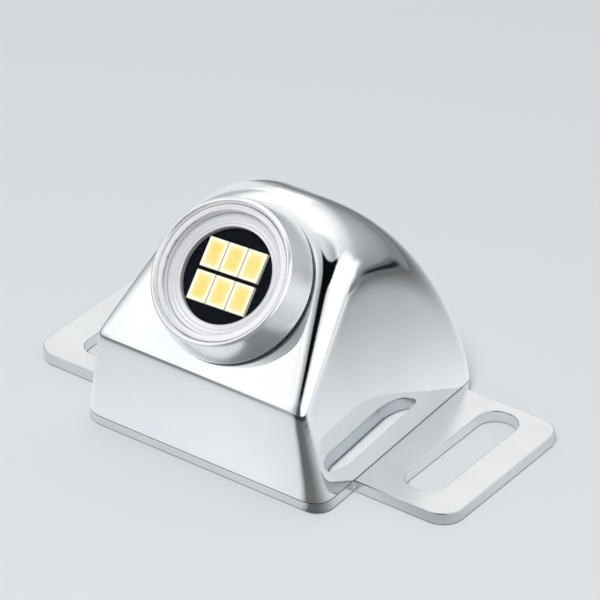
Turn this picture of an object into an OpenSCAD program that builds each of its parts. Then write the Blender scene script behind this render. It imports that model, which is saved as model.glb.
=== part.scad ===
// Reversing light: a cast and chromed hood on a slotted steel base plate, with a
// round aluminium lamp unit of six LEDs set square into the hood's sloping face.
// Origin: underside of the base plate, midway between the two slots.
// +X runs across the ears, the light shines towards -Y and up, +Z is up.

/* [Base plate] */
// Thickness of the steel plate
plate_t = 1.8; // [1.5:0.1:3]
// Radius of the outer corners of the ears
ear_r = 3.2; // [1:0.1:5]
// Distance between the centre lines of the two slots
slot_spacing = 54.4; // [52:0.2:58]
// Width of each slot
slot_w = 6; // [4.2:0.1:7]
// Length of each slot from end to end
slot_l = 22.3; // [12:0.1:24]
// Steel left between a slot and the end of its ear
slot_side = 4.8; // [3:0.1:8]
// Steel left in front of a slot
slot_front = 3.35; // [2:0.05:5]
// Steel left behind a slot
slot_back = 1.75; // [1.5:0.05:4]
// Step from the hood's foot in to the edge of the plate below it
plate_step = 0.5; // [0.2:0.1:1]

/* [Hood] */
// Width of the hood's foot at its front
foot_front_w = 41; // [38:0.5:44]
// Width of the hood's foot at its back
foot_back_w = 37.5; // [35:0.5:40]
// Distance from the slots' centre line to the front of the foot
foot_front = 22.7; // [21:0.1:25]
// Distance from the slots' centre line to the back of the hood
foot_back = 16; // [14:0.1:19]
// Height of the crease between the skirt and the sloping face
crease_h = 15.6; // [13:0.1:18]
// Lean of the front skirt towards the front, in degrees
skirt_lean = 2.3; // [0:0.1:5]
// Slope of the face above the horizontal, in degrees
face_slope = 46.6; // [40:0.1:52]
// Distance up the face from the crease to the ring nut behind it
nut_up = 2.3; // [1.8:0.1:4]
// Thickness of the cast walls
wall = 2; // [1.5:0.1:2.4]
// Radius of the rounded edge round the top of the face
edge_r = 3.7; // [3:0.1:4.2]
// Radius of the crease and its two corners
crease_r = 1.2; // [0.6:0.1:2]
// Radius of the upright corners at the front of the foot
front_corner_r = 3; // [1.5:0.1:4]
// Radius of the upright corners at the back of the foot
back_corner_r = 1.8; // [1:0.1:3]
// Radius of the barrel behind the lamp
barrel_top_r = 13; // [10:0.5:13.5]
// Height at which the curved back stands upright
back_h = 4.6; // [3:0.1:7]
// Height of the cast pad under the lamp
pad_h = 0.25; // [0.2:0.05:0.8]

/* [Lamp body] */
// Wall of the threaded body round the driver
body_wall = 1.3; // [1:0.05:1.8]
// Width by which the flange laps the threaded body
flange_lap = 2.35; // [2.2:0.05:2.8]
// Height of the flange
flange_h = 4.8; // [4.6:0.05:5.4]
// Height of the light board's pocket above the flange's underside
pocket_rise = 0.85; // [0.6:0.05:1]
// Thickness of the rubber seal under the flange
seal_t = 0.3; // [0.2:0.05:0.6]
// Thickness of the ring nut
nut_t = 3; // [2:0.1:3.4]
// Wall of the ring nut
nut_wall = 2; // [1.6:0.1:2.4]
// Thickness of the washer under the nut
washer_t = 0.6; // [0.3:0.1:0.8]

/* [Lens and reflector] */
// Width by which the clear lens laps the threaded body
lens_lap = 0.4; // [0.2:0.05:0.6]
// Width of the flange's rim round the lens
rim_w = 0.95; // [0.7:0.05:1.2]
// Thickness of the lens at its edge
lens_t = 1; // [0.6:0.1:1.2]
// Rise of the lens at its middle
lens_rise = 0.3; // [0.1:0.05:0.4]
// Depth of the lens edge below the rim of the flange
rim_drop = 0.55; // [0.3:0.05:0.8]
// Width of the reflector ring
ring_w = 2.25; // [1.8:0.05:2.8]
// Depth of the dish of the reflector ring
dish_depth = 0.2; // [0.1:0.05:0.4]
// Thickness of the seal under the lens
lens_seal_t = 0.3; // [0.2:0.05:0.4]

/* [Light board] */
// Thickness of the light board
board_t = 0.9; // [0.7:0.1:1.1]
// Step from the threaded body in to the pocket of the light board
board_step = 0.7; // [0.5:0.1:1]
// Thickness of the heat pad under the light board
heat_pad_t = 0.25; // [0.1:0.05:0.3]
// Width of one LED
led_w = 2.95; // [2.6:0.05:3.1]
// Length of one LED
led_l = 4.15; // [3.6:0.05:4.4]
// Thickness of one LED
led_t = 0.65; // [0.5:0.05:0.8]
// Gap between neighbouring LEDs in a row
led_gap = 0.16; // [0.1:0.02:0.4]
// Gap between the two rows of LEDs
row_gap = 0.55; // [0.3:0.05:0.8]
// Clearance from the outer LEDs' corners to the reflector ring
led_margin = 0.38; // [0.2:0.02:0.6]
// Turn of the light board in its seat, in degrees
board_turn = 2.5; // [-10:0.5:10]

/* [Driver] */
// Thickness of the driver board
driver_t = 1; // [0.8:0.1:1.2]
// Radius of the inductor
coil_r = 2; // [1.5:0.1:2.2]
// Height of the inductor
coil_h = 2.4; // [1.5:0.1:2.5]
// Radius of the capacitor
can_r = 1.6; // [1.2:0.1:2]
// Height of the capacitor
can_h = 2.9; // [2.6:0.1:5]
// Space left between the capacitor and the rear plug
can_gap = 0.3; // [0.2:0.1:1]
// Thickness of the rear plug
plug_t = 1.6; // [1.2:0.1:3]

/* [Fixings] */
// Radius of the four screws that hold the plate to the hood
screw_r = 1.25; // [1:0.05:1.5]
// Length of the screws above the plate
screw_l = 5; // [4:0.5:6]
// Radius of the bore in the cable grommet
cable_r = 2.1; // [1.5:0.1:2.5]
// Radius of the hole in the plate for the grommet
gland_r = 3.4; // [3.2:0.1:4]
// Distance of the grommet behind the slots' centre line
gland_y = 6; // [4.5:0.5:8]

/* [Hidden] */
$fn = 64;
LED_COUNT = 6;
LED_COLUMNS = 3;

// One overrun serves every cut that passes a surface.
overrun = 1;
// Clearance between a thread or shank and its hole.
thread_gap = 0.05;
// Clearance round a piece that drops into a pocket.
pocket_gap = 0.1;
// Ledge under the rim of the lens.
lens_ledge = 0.3;
// Smallest radius left on an inside corner of the casting.
inside_r = 0.5;
// Height of the thin discs that a blended form is stretched over.
sliver = 0.05;
// Facets on the round parts of the blended casting.
blend_fn = 32;
// Number of rounded ribs that shape the curved back.
back_ribs = 18;

// Lamp unit: radii about its own axis, built outwards from the two rows of LEDs.
led_pitch = led_w + led_gap;
row_pitch = led_l + row_gap;
grid_r = norm([(LED_COLUMNS - 1) * led_pitch + led_w, row_pitch + led_l]) / 2;
aperture_r = grid_r + led_margin;
ring_pocket_r = aperture_r + ring_w + pocket_gap;
lens_r = ring_pocket_r + lens_ledge;
lens_pocket_r = lens_r + pocket_gap;
rim_r = lens_r + rim_w;
body_r = lens_r - lens_lap;
flange_r = body_r + flange_lap;
driver_pocket_r = body_r - body_wall;
driver_r = driver_pocket_r - pocket_gap;
board_pocket_r = body_r - board_step;
board_r = board_pocket_r - pocket_gap;
nut_r = body_r + nut_wall;

// Casting: slopes of its planes and the crease they meet at.
skirt_run = tan(skirt_lean);
foot_run = (foot_front_w - foot_back_w) / 2 / (foot_front + foot_back);
crease_y = -foot_front - crease_h * skirt_run;
lamp_y = crease_y + (nut_r + nut_up) * cos(face_slope);
lamp_z = crease_h + (nut_r + nut_up) * sin(face_slope);

// Centre and radius of the ring of rounded edge, one edge radius below the face.
// The flat it leaves inside the casting just clears the ring nut.
ring_y = lamp_y + edge_r * sin(face_slope);
ring_z = lamp_z - edge_r * cos(face_slope);
nut_room = 0.2;
ring_r = nut_r + nut_room;

// Length of a side wall's normal whose x part is one, and its lean along the face.
function normal_length(run) = sqrt(1 + foot_run * foot_run + run * run);
function tilt(run) = (run * cos(face_slope) - foot_run * sin(face_slope)) / normal_length(run);
// Half width that the ring needs at its centre, for side walls that lean by run.
function ring_half_w(run) = normal_length(run) * (edge_r + ring_r * sqrt(1 - tilt(run) * tilt(run)));
// Lean of the side walls that touch the ring, found in a few rounds.
function lean(run, rounds) =
    rounds < 1 ? run : lean((half_w(ring_y, 0) - ring_half_w(run)) / ring_z, rounds - 1);
LEAN_COUNT = 12;
wall_run = lean(0, LEAN_COUNT);
wall_norm = normal_length(wall_run);

// Half width of the casting at depth y and height z, between the side walls.
function half_w(y, z) = foot_front_w / 2 - foot_run * (y + foot_front) - (z == 0 ? 0 : wall_run * z);
// Depth of the skirt at height z.
function skirt_y(z) = -foot_front - skirt_run * z;

// The curved back is one arc from the top of the ring to the foot.
top_y = ring_y + ring_r * cos(face_slope);
top_z = ring_z + ring_r * sin(face_slope);
arc_y = foot_back - top_y;
arc_z = top_z - back_h;
back_r = (arc_y * arc_y + arc_z * arc_z - edge_r * edge_r) / (2 * (arc_y - edge_r));
back_y = foot_back - back_r;
back_start = atan2(top_z - back_h, top_y - back_y);

// Lamp unit: heights above the face, along the lamp's own axis.
flange_z = pad_h + seal_t;
rim_z = flange_z + flange_h;
lens_top_z = rim_z - rim_drop;
lens_z = lens_top_z - lens_t;
lens_seat_z = lens_z - lens_seal_t;
pocket_floor_z = flange_z + pocket_rise;
board_z = pocket_floor_z + heat_pad_t;
board_top_z = board_z + board_t;
led_top_z = board_top_z + led_t;
// Upright edge at the flange's foot, and rounding of its rim.
flange_edge = 0.3;
rim_round = 0.35;
// Step from the flange in to the cast pad and the seal below it.
pad_step = 0.45;

// Driver space behind the web, and the plug that closes it.
web_t = 1.6;
web_z = pocket_floor_z - web_t;
driver_lip = 0.5;
driver_space = 3;
driver_z = web_z - driver_space;
plug_z = driver_z - driver_t - can_h - can_gap - plug_t;
lead_hole_r = 0.8;
lead_edge = 1.2;
lead_hole_x = driver_pocket_r - driver_lip - lead_hole_r - lead_edge;
case_gap = 0.8;
bridge_w = 4.7;
bridge_l = 3.9;
bridge_h = 1.5;
driver_case_w = 4.9;
driver_case_l = 3.6;
driver_case_h = 1.3;
resistor_w = 1.6;
resistor_l = 3.2;
resistor_h = 0.6;
pad_r = flange_r - pad_step;

// Screws: their places follow the foot and the walls above them.
tip_gap = 1;
boss_r = 2.5;
boss_h = screw_l + 2 * tip_gap;
boss_front_in = 5.6;
boss_back_in = 5;
boss_side_in = 0.4;
head_r = 2.4;
gasket_t = 0.8;
gasket_lip = 0.9;
gland_lip = 1.2;
gland_lip_t = 1.2;

// Small forms: spanner notches, reflector grooves and LED windows.
nut_notches = 6;
notch_w = 2.4;
notch_d = 1;
grooves = 3;
groove_r = 0.12;
led_frame = 0.4;
window_round = 0.25;

// Plate: its width follows from the slots.
plate_w = slot_spacing + slot_w + 2 * slot_side;

chrome = [0.86, 0.87, 0.88];
steel = [0.82, 0.82, 0.83];
alu = [0.74, 0.75, 0.77];
black_rubber = [0.08, 0.08, 0.09];
board_black = [0.05, 0.06, 0.09];
cream = [0.97, 0.94, 0.82];
phosphor = [0.98, 0.85, 0.5];
clear = [0.85, 0.9, 0.95, 0.35];

// Puts its children on the lamp's axis: z along it and y up the slope.
module on_face(height = 0) {
    translate([0, lamp_y, lamp_z]) rotate([face_slope, 0, 0]) translate([0, 0, height]) children();
}

// Places its children on both sides of the middle plane.
module both_sides() {
    children();
    mirror([1, 0, 0]) children();
}

// Bottom corner of the casting: a thin disc that touches the foot's two edges.
module foot_corner(y_edge, inward, r, inset, z) {
    corner = max(r - inset, inside_r);
    y = y_edge + inward * (inset + corner);
    x = half_w(y, z) - inset * wall_norm - corner * sqrt(1 + foot_run * foot_run);
    translate([x, y, z]) cylinder(r = corner, h = sliver, $fn = blend_fn);
}

// End of the crease: a ball that touches the skirt, the face and the side wall.
module crease_corner(inset) {
    ball = max(crease_r - inset, inside_r);
    away = inset + ball;
    along = away / (1 + cos(90 - face_slope - skirt_lean));
    y = crease_y + along * (cos(skirt_lean) + sin(face_slope));
    z = crease_h + along * (sin(skirt_lean) - cos(face_slope));
    translate([half_w(y, z) - away * wall_norm, y, z]) sphere(r = ball, $fn = blend_fn);
}

// One rib of the curved back, from the barrel's radius to the foot's corner radius.
module back_rib(share, inset) {
    turn = back_start * (1 - share);
    full = barrel_top_r * (1 - share) + back_corner_r * share;
    corner = max(full - inset, inside_r);
    reach = back_r - inset - corner;
    y = back_y + reach * cos(turn);
    z = back_h + reach * sin(turn);
    slant = wall_run * cos(turn) - foot_run * sin(turn);
    x = half_w(y, z) - inset * wall_norm - corner * sqrt(wall_norm * wall_norm - slant * slant);
    translate([max(x, 0), y, z]) rotate([turn, 0, 0]) cylinder(r = corner, h = sliver, $fn = 2 * blend_fn);
}

// The casting's solid form, every face of it moved in by inset.
module hood(inset, z_foot) {
    hull() {
        both_sides() {
            foot_corner(skirt_y(z_foot), 1, front_corner_r, inset, z_foot);
            foot_corner(foot_back, -1, back_corner_r, inset, z_foot);
            crease_corner(inset);
            for (i = [0:back_ribs]) back_rib(i / back_ribs, inset);
        }
        on_face(-edge_r) rotate_extrude(angle = 180) translate([ring_r, 0]) circle(r = edge_r - inset, $fn = blend_fn);
    }
}

// Corners of the foot's outline at height z, moved in by inset.
function foot_points(inset, z) = [
    for (end = [[skirt_y(z), 1, front_corner_r], [foot_back, -1, back_corner_r]])
        let (r = max(end[2] - inset, inside_r), y = end[0] + end[1] * (inset + r))
            [half_w(y, z) - inset * wall_norm - r * sqrt(1 + foot_run * foot_run), y, r]
];

// The foot's outline: a tapered rectangle with true arcs at its corners.
module foot_outline(inset, z) {
    ends = foot_points(inset, z);
    edge_turn = atan(foot_run);
    rim = [for (e = ends) [e[0] + e[2] * cos(edge_turn), e[1] + e[2] * sin(edge_turn)]];
    both_sides() {
        polygon([
            [0, ends[0][1] - ends[0][2]],
            [ends[0][0], ends[0][1] - ends[0][2]],
            [ends[0][0], ends[0][1]],
            rim[0],
            rim[1],
            [ends[1][0], ends[1][1]],
            [ends[1][0], ends[1][1] + ends[1][2]],
            [0, ends[1][1] + ends[1][2]]
        ]);
        for (e = ends) translate([e[0], e[1]]) circle(r = e[2]);
    }
}

// Places its children at the four screws, at height z.
module at_screws(z) {
    top = plate_t + boss_h;
    for (y = [skirt_y(0) + boss_front_in, foot_back - boss_back_in])
        both_sides() translate([half_w(y, top) - boss_r - boss_side_in, y, z]) children();
}

// Outline of the two ears, with round outer corners.
module ears_outline() {
    x = plate_w / 2 - ear_r;
    front = -slot_l / 2 - slot_front;
    back = slot_l / 2 + slot_back;
    translate([-x, front]) square([2 * x, back - front]);
    translate([-plate_w / 2, front + ear_r]) square([plate_w, back - front - 2 * ear_r]);
    both_sides() for (y = [front + ear_r, back - ear_r]) translate([x, y]) circle(r = ear_r);
}

// One slot with round ends, running front to back.
module slot_outline() {
    run = slot_l - slot_w;
    translate([-slot_w / 2, -run / 2]) square([slot_w, run]);
    for (y = [-run / 2, run / 2]) translate([0, y]) circle(r = slot_w / 2);
}

module base_plate() {
    color(steel) difference() {
        linear_extrude(plate_t) difference() {
            union() {
                ears_outline();
                foot_outline(plate_step, 0);
            }
            both_sides() translate([slot_spacing / 2, 0]) slot_outline();
            translate([0, gland_y]) circle(r = gland_r);
        }
        at_screws(-overrun) cylinder(r = screw_r + pocket_gap, h = plate_t + 2 * overrun);
        at_screws(0) cylinder(r1 = head_r, r2 = screw_r, h = head_r - screw_r);
    }
}

module housing() {
    color(chrome) difference() {
        union() {
            difference() {
                union() {
                    hood(0, plate_t);
                    on_face(-wall / 2) cylinder(r = pad_r, h = wall / 2 + pad_h);
                }
                hood(wall, plate_t - overrun);
            }
            at_screws(plate_t) cylinder(r = boss_r, h = boss_h);
        }
        translate([0, 0, plate_t]) linear_extrude(2 * gasket_t, center = true) difference() {
            foot_outline(gasket_lip, plate_t);
            at_screws(0) circle(r = boss_r);
        }
        at_screws(plate_t - overrun) cylinder(r = screw_r + thread_gap, h = overrun + screw_l + tip_gap);
        on_face(-wall - overrun) cylinder(r = body_r + pocket_gap, h = wall + pad_h + 2 * overrun);
    }
}

// Flat gasket in the rebate round the foot, clear of the screw bosses.
module base_gasket() {
    color(black_rubber) translate([0, 0, plate_t]) linear_extrude(gasket_t) difference() {
        foot_outline(gasket_lip + pocket_gap, plate_t);
        foot_outline(wall + gasket_lip, plate_t);
        at_screws(0) circle(r = boss_r + pocket_gap);
    }
}

module base_screws() {
    color(steel) at_screws(0) {
        cylinder(r1 = head_r - thread_gap, r2 = screw_r, h = head_r - screw_r);
        cylinder(r = screw_r, h = plate_t + screw_l);
    }
}

// The cable's inlet: a rubber bush that fills the plate's hole and laps it inside.
module cable_grommet() {
    color(black_rubber) translate([0, gland_y, 0]) difference() {
        union() {
            cylinder(r = gland_r, h = plate_t);
            translate([0, 0, plate_t]) cylinder(r1 = gland_r + gland_lip, r2 = gland_r, h = gland_lip_t);
        }
        translate([0, 0, -overrun]) cylinder(r = cable_r, h = plate_t + gland_lip_t + 2 * overrun);
    }
}

// The turned lamp body: conical flange, lens seat, web and driver space in one piece.
module bezel() {
    rim_in = lens_pocket_r + (rim_r - lens_pocket_r) / 3;
    color(alu) on_face() difference() {
        rotate_extrude() union() {
            polygon([
                [0, web_z],
                [driver_pocket_r - driver_lip, web_z],
                [driver_pocket_r - driver_lip, driver_z],
                [driver_pocket_r, driver_z],
                [driver_pocket_r, plug_z],
                [body_r, plug_z],
                [body_r, flange_z],
                [flange_r, flange_z],
                [flange_r, flange_z + flange_edge],
                [rim_r, rim_z - rim_round],
                [rim_r - rim_round, rim_z],
                [rim_in, rim_z],
                [lens_pocket_r, lens_top_z],
                [lens_pocket_r, lens_seat_z],
                [ring_pocket_r, lens_seat_z],
                [ring_pocket_r, board_top_z],
                [board_pocket_r, board_top_z],
                [board_pocket_r, pocket_floor_z],
                [0, pocket_floor_z]
            ]);
            translate([rim_r - rim_round, rim_z - rim_round]) circle(r = rim_round);
        }
        both_sides() translate([lead_hole_x, 0, web_z - overrun]) cylinder(r = lead_hole_r, h = web_t + 2 * overrun);
    }
}

// A flat ring on the lamp's axis.
module flat_ring(outer, inner, height, at_z) {
    on_face(at_z) difference() {
        cylinder(r = outer, h = height);
        translate([0, 0, -overrun]) cylinder(r = inner, h = height + 2 * overrun);
    }
}

module bezel_seal() {
    color(black_rubber) flat_ring(pad_r, body_r + pocket_gap, seal_t, pad_h);
}

module nut_washer() {
    color(steel) flat_ring(nut_r, body_r + pocket_gap, washer_t, -wall - washer_t);
}

// Ring nut with six notches for a pin spanner.
module bezel_nut() {
    color(alu) on_face(-wall - washer_t - nut_t) difference() {
        cylinder(r = nut_r, h = nut_t);
        translate([0, 0, -overrun]) cylinder(r = body_r + thread_gap, h = nut_t + 2 * overrun);
        for (i = [0:nut_notches - 1])
            rotate([0, 0, i * 360 / nut_notches])
                translate([nut_r - notch_d, -notch_w / 2, -overrun])
                    cube([2 * notch_d, notch_w, nut_t + 2 * overrun]);
    }
}

// Clear lens with a shallow crown, a true arc in section.
module lens() {
    crown_r = (lens_r * lens_r + lens_rise * lens_rise) / (2 * lens_rise);
    color(clear) on_face(lens_z) intersection() {
        cylinder(r = lens_r, h = lens_t + lens_rise);
        translate([0, 0, lens_t + lens_rise - crown_r]) sphere(r = crown_r, $fn = 4 * $fn);
    }
}

module lens_seal() {
    color(black_rubber) flat_ring(lens_r, ring_pocket_r, lens_seal_t, lens_seat_z);
}

// Polished ring that clamps the light board and frames the LEDs.
module reflector_ring() {
    ring_top = lens_seat_z + lens_seal_t / 2;
    outer = ring_pocket_r - pocket_gap;
    inner_top = ring_top - dish_depth;
    color(chrome) on_face() rotate_extrude() difference() {
        polygon([
            [aperture_r, board_top_z],
            [outer, board_top_z],
            [outer, ring_top],
            [aperture_r, inner_top]
        ]);
        for (i = [1:grooves]) {
            share = i / (grooves + 1);
            translate([aperture_r + (outer - aperture_r) * share, inner_top + dish_depth * share]) circle(r = groove_r);
        }
    }
}

module led_board() {
    color(board_black) on_face(board_z) difference() {
        cylinder(r = board_r, h = board_t);
        both_sides() translate([lead_hole_x, 0, -overrun]) cylinder(r = lead_hole_r, h = overrun + board_t / 2);
    }
}

module thermal_pad() {
    color("lightgrey") on_face(pocket_floor_z) difference() {
        cylinder(r = board_r - pocket_gap, h = heat_pad_t);
        both_sides() translate([lead_hole_x, 0, -overrun]) cylinder(r = lead_hole_r, h = heat_pad_t + 2 * overrun);
    }
}

// Puts its children at the centre of LED i, on top of the light board.
module at_led(i) {
    column = (i - 1) % LED_COLUMNS - (LED_COLUMNS - 1) / 2;
    row = i > LED_COLUMNS ? -1 / 2 : 1 / 2;
    on_face(board_top_z) rotate([0, 0, board_turn]) translate([column * led_pitch, row * row_pitch, 0]) children();
}

// Window of an LED: a rounded rectangle inside its frame.
module led_window() {
    w = led_w - 2 * led_frame;
    l = led_l - 2 * led_frame;
    x = w / 2 - window_round;
    y = l / 2 - window_round;
    square([2 * x, l], center = true);
    square([w, 2 * y], center = true);
    for (px = [-x, x], py = [-y, y]) translate([px, py]) circle(r = window_round);
}

module led_package(i) {
    color(cream) at_led(i) difference() {
        linear_extrude(led_t) square([led_w, led_l], center = true);
        translate([0, 0, led_t / 2]) linear_extrude(led_t) led_window();
    }
}

module led_phosphor(i) {
    color(phosphor) at_led(i) translate([0, 0, led_t / 2]) linear_extrude(led_t / 2 - thread_gap) led_window();
}

// A block that stands on a face of the driver board.
module chip(x, y, w, l, h, up) {
    z = up ? driver_z : driver_z - driver_t - h;
    on_face(z) translate([x - w / 2, y - l / 2, 0]) cube([w, l, h]);
}

module driver_board() {
    color("darkgreen") on_face(driver_z - driver_t) difference() {
        cylinder(r = driver_r, h = driver_t);
        both_sides() translate([lead_hole_x, 0, -overrun]) cylinder(r = lead_hole_r, h = driver_t + 2 * overrun);
    }
}

// Bridge rectifier, on the side of the driver board that faces the web.
module rectifier() {
    color("dimgrey") chip(0, (case_gap + bridge_l) / 2, bridge_w, bridge_l, bridge_h, true);
}

// Current regulator, below the rectifier on the same side.
module regulator() {
    color("dimgrey") chip(0, -(case_gap + driver_case_l) / 2, driver_case_w, driver_case_l, driver_case_h, true);
}

// Two sense resistors beside the coil, on the side that faces the plug.
module resistors() {
    color("black") both_sides() chip(resistor_w, -resistor_l, resistor_w, resistor_l, resistor_h, false);
}

module inductor() {
    color("dimgrey") on_face(driver_z - driver_t - coil_h)
        translate([-driver_r / 3, driver_r / 3, 0]) cylinder(r = coil_r, h = coil_h);
}

module capacitor() {
    color("silver") on_face(driver_z - driver_t - can_h)
        translate([driver_r / 3, driver_r / 3, 0]) cylinder(r = can_r, h = can_h);
}

// Rubber plug that closes the lamp body behind the driver, with a hole for the cable.
module rear_plug() {
    color(black_rubber) on_face(plug_z) difference() {
        cylinder(r = driver_pocket_r, h = plug_t);
        translate([0, 0, -overrun]) cylinder(r = cable_r, h = plug_t + 2 * overrun);
    }
}

base_plate();
housing();
base_gasket();
base_screws();
cable_grommet();
bezel();
bezel_seal();
nut_washer();
bezel_nut();
lens();
lens_seal();
reflector_ring();
led_board();
thermal_pad();
for (i = [1:LED_COUNT]) {
    led_package(i);
    led_phosphor(i);
}
driver_board();
rectifier();
regulator();
resistors();
inductor();
capacitor();
rear_plug();
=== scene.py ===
import math

import bmesh
import bpy
import numpy as np
from bpy.props import FloatProperty, FloatVectorProperty, PointerProperty
from mathutils import Matrix, Vector


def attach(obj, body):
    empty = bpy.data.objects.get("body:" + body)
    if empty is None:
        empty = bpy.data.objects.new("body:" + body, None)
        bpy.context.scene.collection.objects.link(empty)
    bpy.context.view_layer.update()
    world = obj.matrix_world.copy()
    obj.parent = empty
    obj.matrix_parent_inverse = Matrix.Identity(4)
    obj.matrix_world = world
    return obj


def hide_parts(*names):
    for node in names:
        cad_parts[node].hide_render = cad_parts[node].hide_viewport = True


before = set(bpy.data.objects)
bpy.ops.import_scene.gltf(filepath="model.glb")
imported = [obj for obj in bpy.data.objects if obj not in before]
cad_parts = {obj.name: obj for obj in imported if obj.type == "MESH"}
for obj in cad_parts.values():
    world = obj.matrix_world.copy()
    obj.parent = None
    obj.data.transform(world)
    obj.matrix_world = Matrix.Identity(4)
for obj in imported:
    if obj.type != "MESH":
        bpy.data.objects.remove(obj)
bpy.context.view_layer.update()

bl_info = {
    "name": "Reversing Light",
    "version": (1, 0, 0),
    "blender": (4, 5, 0),
    "location": "3D View > Sidebar > Reversing Light",
    "description": "Builds a chromed reversing light with six LEDs on a slotted steel plate",
    "category": "Add Mesh",
}

MM = 0.001
BODY = "root"
SHARP = math.radians(32)
NOISE_MIDDLE = (0.3, 0.7)
LED_COLUMNS = 3
LED_ROWS = 2


def length(name, millimetres, text):
    """A size in metres whose default is written in millimetres."""
    return FloatProperty(name=name, description=text, default=millimetres * MM, unit="LENGTH", precision=5)


def angle(name, degrees, text):
    """An angle whose default is written in degrees."""
    return FloatProperty(name=name, description=text, default=math.radians(degrees), subtype="ANGLE")


def number(name, value, text, **more):
    """A value that is neither a size nor an angle."""
    return FloatProperty(name=name, description=text, default=value, **more)


def linear(code):
    """Linear red, green and blue of an sRGB hex colour."""
    shares = [int(code[i:i + 2], 16) / 255 for i in (1, 3, 5)]
    return [s / 12.92 if s <= 0.04045 else ((s + 0.055) / 1.055) ** 2.4 for s in shares]


def colour(name, code, text):
    """A colour whose default is written as an sRGB hex value."""
    return FloatVectorProperty(
        name=name, description=text, default=linear(code) + [1.0], size=4, subtype="COLOR", min=0, max=1)


class HoodSizes(bpy.types.PropertyGroup):
    """Sizes of the cast hood"""
    foot_front_w: length("Front width", 41, "Width of the hood's foot at its front")
    foot_back_w: length("Back width", 37.5, "Width of the hood's foot at its back")
    foot_front: length("Front reach", 22.7, "From the slots' centre line to the front of the foot")
    foot_back: length("Back reach", 16, "From the slots' centre line to the back of the hood")
    foot_z: length("Foot height", 1.8, "Height of the foot, on top of the steel plate")
    crease_h: length("Crease height", 15.6, "Height of the crease between skirt and face")
    skirt_lean: angle("Skirt lean", 2.3, "Lean of the front skirt")
    wall_lean: angle("Wall lean", 11.965, "Lean of the side walls towards the middle")
    face_slope: angle("Face slope", 46.6, "Slope of the face that carries the lamp")
    lamp_up: length("Lamp place", 13.302, "From the crease up the face to the lamp's centre")
    wall: length("Wall", 2, "Thickness of the casting")
    edge_r: length("Edge radius", 3.7, "Radius of the rounded edge round the face")
    ring_r: length("Ring radius", 11.202, "Radius of the flat inside the rounded edge")
    crease_r: length("Crease radius", 1.2, "Radius of the crease's corners")
    front_corner_r: length("Front corners", 3, "Radius of the upright front corners")
    back_corner_r: length("Back corners", 1.8, "Radius of the upright back corners")
    barrel_top_r: length("Barrel radius", 13, "Radius of the barrel behind the lamp")
    back_h: length("Back height", 4.6, "Height at which the back stands upright")
    pad_h: length("Pad height", 0.25, "Height of the cast pad under the lamp")
    pad_r: length("Pad radius", 10.9, "Radius of the cast pad under the lamp")
    bore_r: length("Bore radius", 9.1, "Radius of the bore for the lamp body")
    boss_r: length("Boss radius", 2.5, "Radius of the four screw bosses")
    boss_h: length("Boss height", 7, "Height of the four screw bosses")
    hole_r: length("Screw hole", 1.3, "Radius of the screw holes in the bosses")


class LampSizes(bpy.types.PropertyGroup):
    """Sizes of the lamp body, lens and reflector ring, along the lamp's axis from the hood's face"""
    body_r: length("Body radius", 9, "Radius of the barrel")
    flange_r: length("Flange radius", 11.352, "Radius of the conical flange at its foot")
    rim_r: length("Rim radius", 10.35, "Radius of the flange at its rim")
    seat_z: length("Seat", 0.55, "Height of the flange's underside above the face")
    flange_h: length("Flange height", 4.8, "Height of the conical flange")
    pocket_z: length("Pocket floor", 1.4, "Height of the light board's pocket above the face")
    lens_r: length("Lens radius", 9.4, "Radius of the clear lens")
    lens_t: length("Lens thickness", 1, "Thickness of the lens at its edge")
    lens_rise: length("Lens rise", 0.3, "Rise of the lens at its middle")
    rim_drop: length("Rim drop", 0.55, "Depth of the lens edge below the rim")
    aperture_r: length("Aperture", 6.75, "Radius of the opening in the reflector ring")
    back_z: length("Back end", -9, "Height of the body's back end")


class LedSizes(bpy.types.PropertyGroup):
    """Sizes and places of the LEDs on the light board"""
    board_top: length("Board", 2.55, "Height of the light board's top above the hood's face")
    width: length("LED width", 2.95, "Width of one LED")
    long: length("LED length", 4.15, "Length of one LED")
    thick: length("LED thickness", 0.65, "Thickness of one LED")
    pitch: length("Column pitch", 3.11, "Distance between neighbouring LEDs in a row")
    row_pitch: length("Row pitch", 4.7, "Distance between the two rows")
    turn: angle("Board turn", 2.5, "Turn of the light board in its seat")


class StageSettings(bpy.types.PropertyGroup):
    """Floor, light and camera"""
    floor: colour("Floor", "#D3D5D7", "Colour of the plain floor")
    backdrop: colour("Backdrop", "#DDDFE1", "Colour that the camera sees past the floor")
    floor_r: length("Floor radius", 200, "Radius of the round floor")
    pool_r: length("Pool of light", 71, "Radius at which the mirrored floor is half as bright")
    lens_mm: number("Lens", 277.9, "Focal length of the camera in millimetres")
    key_watts: number("Key light", 9.5, "Power of the soft key light", unit="POWER")
    fill_level: number("Fill", 0.45, "Level of the even light from all round")
    world_level: number("Softboxes", 1.0, "Level of the softboxes that the metal mirrors")


def settings():
    """The four groups of values that the operators build from."""
    scene = bpy.context.scene
    return scene.hood_sizes, scene.lamp_sizes, scene.led_sizes, scene.stage_settings


# Frames and meshes

def skirt_y(hood, z):
    """Depth of the leaning skirt at a height."""
    return -hood.foot_front - z * math.tan(hood.skirt_lean)


def lamp_frame(hood):
    """Turns and moves a mesh built about +Z to the lamp's own axis, square to the hood's face."""
    centre = Vector((
        0,
        skirt_y(hood, hood.crease_h) + hood.lamp_up * math.cos(hood.face_slope),
        hood.crease_h + hood.lamp_up * math.sin(hood.face_slope)))
    return Matrix.Translation(centre) @ Matrix.Rotation(hood.face_slope, 4, "X")


def placed(name, data):
    """Makes an object of its data and puts it in the scene."""
    made = bpy.data.objects.new(name, data)
    bpy.context.scene.collection.objects.link(made)
    return made


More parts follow.
